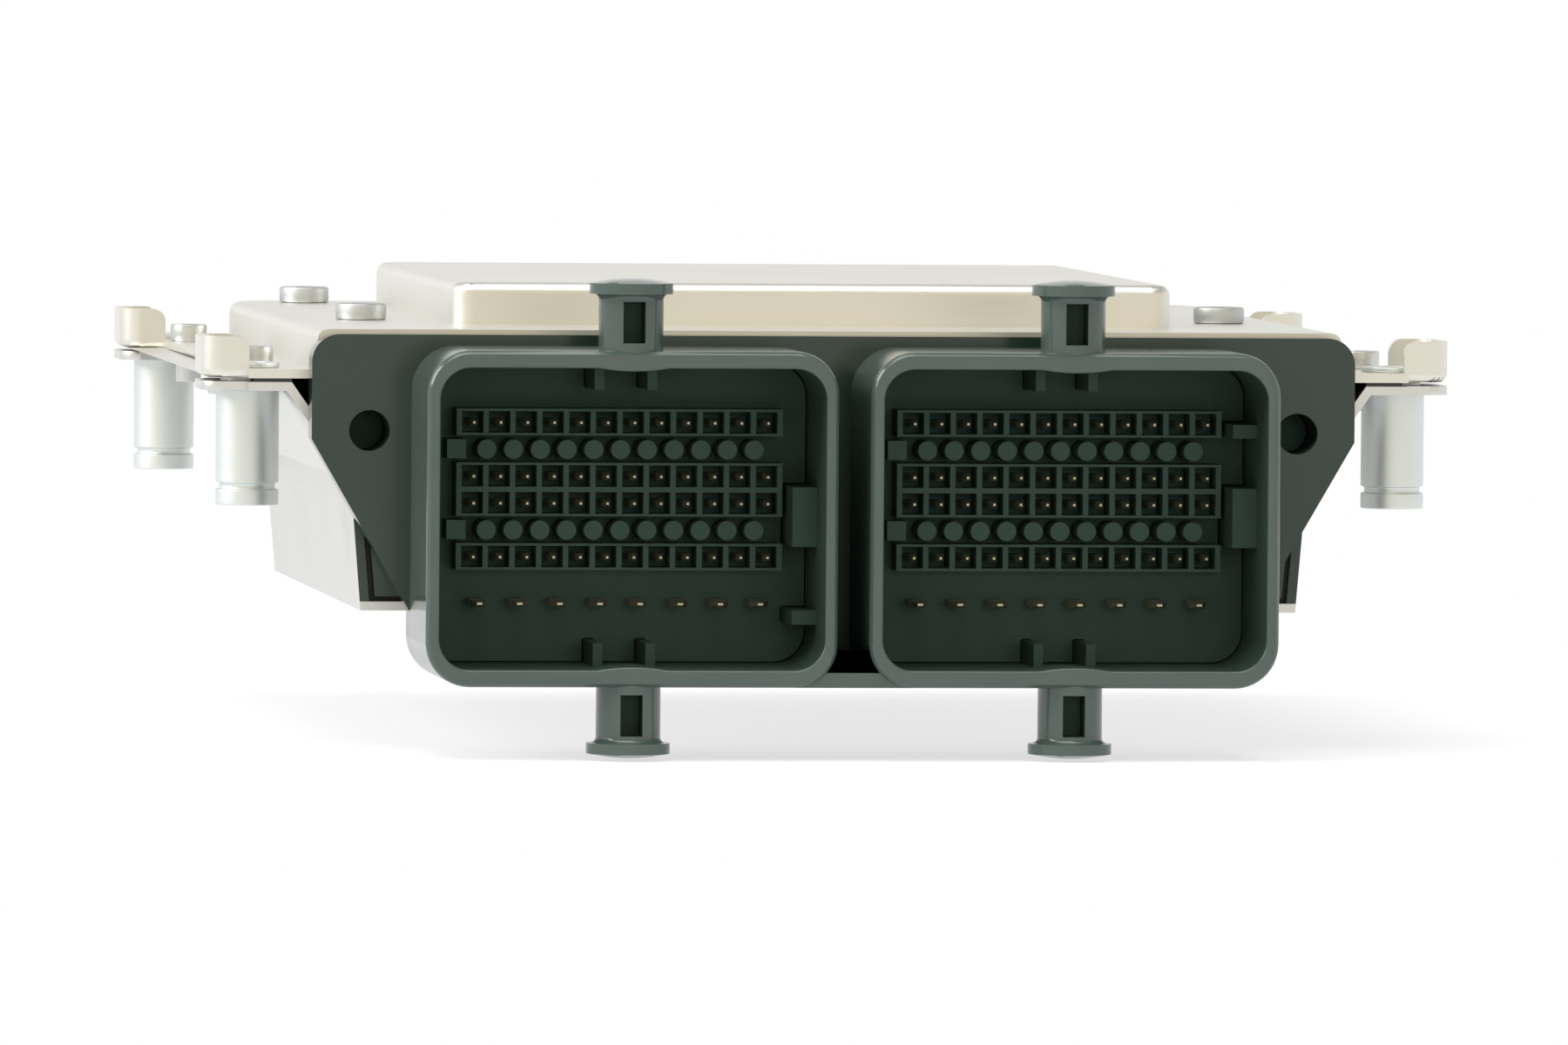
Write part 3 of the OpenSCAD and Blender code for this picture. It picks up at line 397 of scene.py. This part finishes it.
front = broken_edges("connector_header", "front_moulding", "header_plastic",
    width_mm=0.2, shaped=round_openings)
# Painted shade in the sockets, slots and holes and between the shrouds
finish_faces(front, RECESS_SHADE, in_recess)
broken_edges("heat_sink_cover", "pressed_cover", "cover_aluminium", width_mm=0.12, shaped=round_lips)
pan = broken_edges("base_pan", "pressed_pan", "pan_aluminium", width_mm=0.12, shaped=divide_mouth)
finish_faces(pan, SEALANT, on_sealed_edge)
broken_edges("mounting_sleeves", "turned_sleeves", "sleeve_steel", width_mm=0.15)
broken_edges("case_screws", "flange_screws", "plated_steel", width_mm=0.2)
broken_edges("board_screws", "cover_screws", "screw_steel", width_mm=0.25)
for hand in ("left", "right"):
    block = broken_edges(hand + "_contact_carrier", hand + "_window_block", "carrier_plastic",
        width_mm=0.08, segments=1)
    # Painted light on the walls of the windows and posts
    finish_faces(block, FLANK_LIGHT, on_flank)

# Every solid that stays as packed gets the finish of its own slot
for part in frame["record"]["subparts"]:
    paint(frame["nodes"][part["node"]], part["material_slot"])

# Floor: it takes the shadow under the part, where it is only partly white, and fades to plain white around it
FLOOR_SIZE = 6
FLOOR_DROP = 0.2
FADE_START = 80
FADE_END = 200
WHITE_UNDER_PART = 0.65
deselect_all()
bpy.ops.mesh.primitive_plane_add(size=FLOOR_SIZE, location=(0, 0, cad_box[0].z - FLOOR_DROP * MM))
floor = bpy.context.object
floor.name = "studio_floor"
material, tree = blank_material("pale_studio_floor")
place = add(tree, "ShaderNodeTexCoord").outputs["Object"]
far = add(tree, "ShaderNodeVectorMath", links={0: place}, operation="LENGTH").outputs["Value"]
fade = add(tree, "ShaderNodeMapRange",
    {"From Min": FADE_START * MM, "From Max": FADE_END * MM, "To Min": WHITE_UNDER_PART},
    {"Value": far}).outputs[0]
matt = add(tree, "ShaderNodeBsdfDiffuse", {"Color": linear("#fbfbfb")}).outputs[0]
white = add(tree, "ShaderNodeEmission", {"Color": linear("#ffffff"), "Strength": 1.0}).outputs[0]
shader = add(tree, "ShaderNodeMixShader", links={0: fade, 1: matt, 2: white}).outputs[0]
add(tree, "ShaderNodeOutputMaterial", links={"Surface": shader})
floor.data.materials.append(material)

# Surroundings: white where they are seen or mirrored, and a weaker even fill for what they light
FILL = 0.62
world = bpy.data.worlds.new("white_studio")
world.use_nodes = True
bpy.context.scene.world = world
tree = world.node_tree
tree.nodes.clear()
path = add(tree, "ShaderNodeLightPath").outputs
mirrored = path["Is Glossy Ray"]
seen = add(tree, "ShaderNodeMath", links={0: path["Is Camera Ray"], 1: mirrored}, operation="ADD").outputs[0]
seen = add(tree, "ShaderNodeMath", links={0: seen, 1: path["Is Transmission Ray"]}, operation="ADD",
    use_clamp=True).outputs[0]
# What shines in the surfaces is white at the height of the part, under a greyer ceiling,
# with the beige room on the camera's side; both set in over a range of directions
CEILING_START = 0.2
CEILING_FULL = 0.75
ROOM_START = 0.15
ROOM_FULL = -0.6
place = add(tree, "ShaderNodeTexCoord").outputs["Generated"]
towards = add(tree, "ShaderNodeSeparateXYZ", links={"Vector": place}).outputs
ceiling = add(tree, "ShaderNodeMapRange", {"From Min": CEILING_START, "From Max": CEILING_FULL},
    {"Value": towards["Z"]}, interpolation_type="SMOOTHSTEP").outputs[0]
ceiling = add(tree, "ShaderNodeMath", links={0: ceiling, 1: mirrored}, operation="MULTIPLY").outputs[0]
room = add(tree, "ShaderNodeMapRange", {"From Min": ROOM_START, "From Max": ROOM_FULL},
    {"Value": towards["Y"]}, interpolation_type="SMOOTHSTEP").outputs[0]
room = add(tree, "ShaderNodeMath", links={0: room, 1: mirrored}, operation="MULTIPLY").outputs[0]
walls = add(tree, "ShaderNodeMix", {FIRST: linear("#ffffff"), SECOND: linear("#f8edd2")}, {FACTOR: room},
    data_type="RGBA").outputs[MIXED]
shine = add(tree, "ShaderNodeMix", {SECOND: linear("#b4b4b0")}, {FACTOR: ceiling, FIRST: walls},
    data_type="RGBA").outputs[MIXED]
fill = add(tree, "ShaderNodeBackground", {"Color": linear("#ffffff"), "Strength": FILL}).outputs[0]
plain = add(tree, "ShaderNodeBackground", {"Strength": 1.0}, {"Color": shine}).outputs[0]
mix = add(tree, "ShaderNodeMixShader", links={0: seen, 1: fill, 2: plain}).outputs[0]
add(tree, "ShaderNodeOutputWorld", links={"Surface": mix})


# A square soft lamp: its size, place and aim are in metres
def soft_lamp(name, watts, size, place, aim):
    lamp = bpy.data.lights.new(name, "AREA")
    lamp.energy = watts
    lamp.size = size
    holder = bpy.data.objects.new(name, lamp)
    holder.location = place
    holder.rotation_mode = "QUATERNION"
    holder.rotation_quaternion = (Vector(aim) - Vector(place)).to_track_quat("-Z", "Y")
    bpy.context.scene.collection.objects.link(holder)
    return holder


soft_lamp("overhead_softbox", watts=5.5, size=0.7, place=(-0.12, -0.25, 0.75), aim=(0, -0.03, 0))
soft_lamp("left_softbox", watts=5.5, size=0.5, place=(-0.8, -0.1, 0.45), aim=(0, -0.04, 0))
# The front fill reaches into the sockets and leaves no highlight of its own
front_fill = soft_lamp("front_fill", watts=5.5, size=0.4, place=(0.1, -1.3, 0.03), aim=(0, -0.05, 0))
front_fill.visible_glossy = False

# Camera: a long lens in front, a little to the left and above, with its place in millimetres
CAMERA_PLACE = Vector((-205.81, -1660.0, 64.61))
YAW = math.radians(7.137)
PITCH = math.radians(2.328)
ROLL = math.radians(0.472)
FOCAL_PX = 19623.6
PICTURE_PX = 1800
SENSOR_MM = 36
SIGHT_END = 50
forward = Vector((math.sin(YAW) * math.cos(PITCH), math.cos(YAW) * math.cos(PITCH), -math.sin(PITCH)))
level = Vector((math.cos(YAW), -math.sin(YAW), 0))
upright = level.cross(forward)
right = math.cos(ROLL) * level + math.sin(ROLL) * upright
top = math.cos(ROLL) * upright - math.sin(ROLL) * level
camera = bpy.data.objects.new("camera", bpy.data.cameras.new("camera"))
camera.data.sensor_width = SENSOR_MM
camera.data.lens = FOCAL_PX / PICTURE_PX * SENSOR_MM
camera.data.clip_end = SIGHT_END
turn = Matrix((right, top, -forward)).transposed().to_4x4()
camera.matrix_world = Matrix.Translation(CAMERA_PLACE * MM) @ turn
bpy.context.scene.collection.objects.link(camera)
bpy.context.scene.camera = camera

bpy.context.scene.view_settings.view_transform = "Standard"
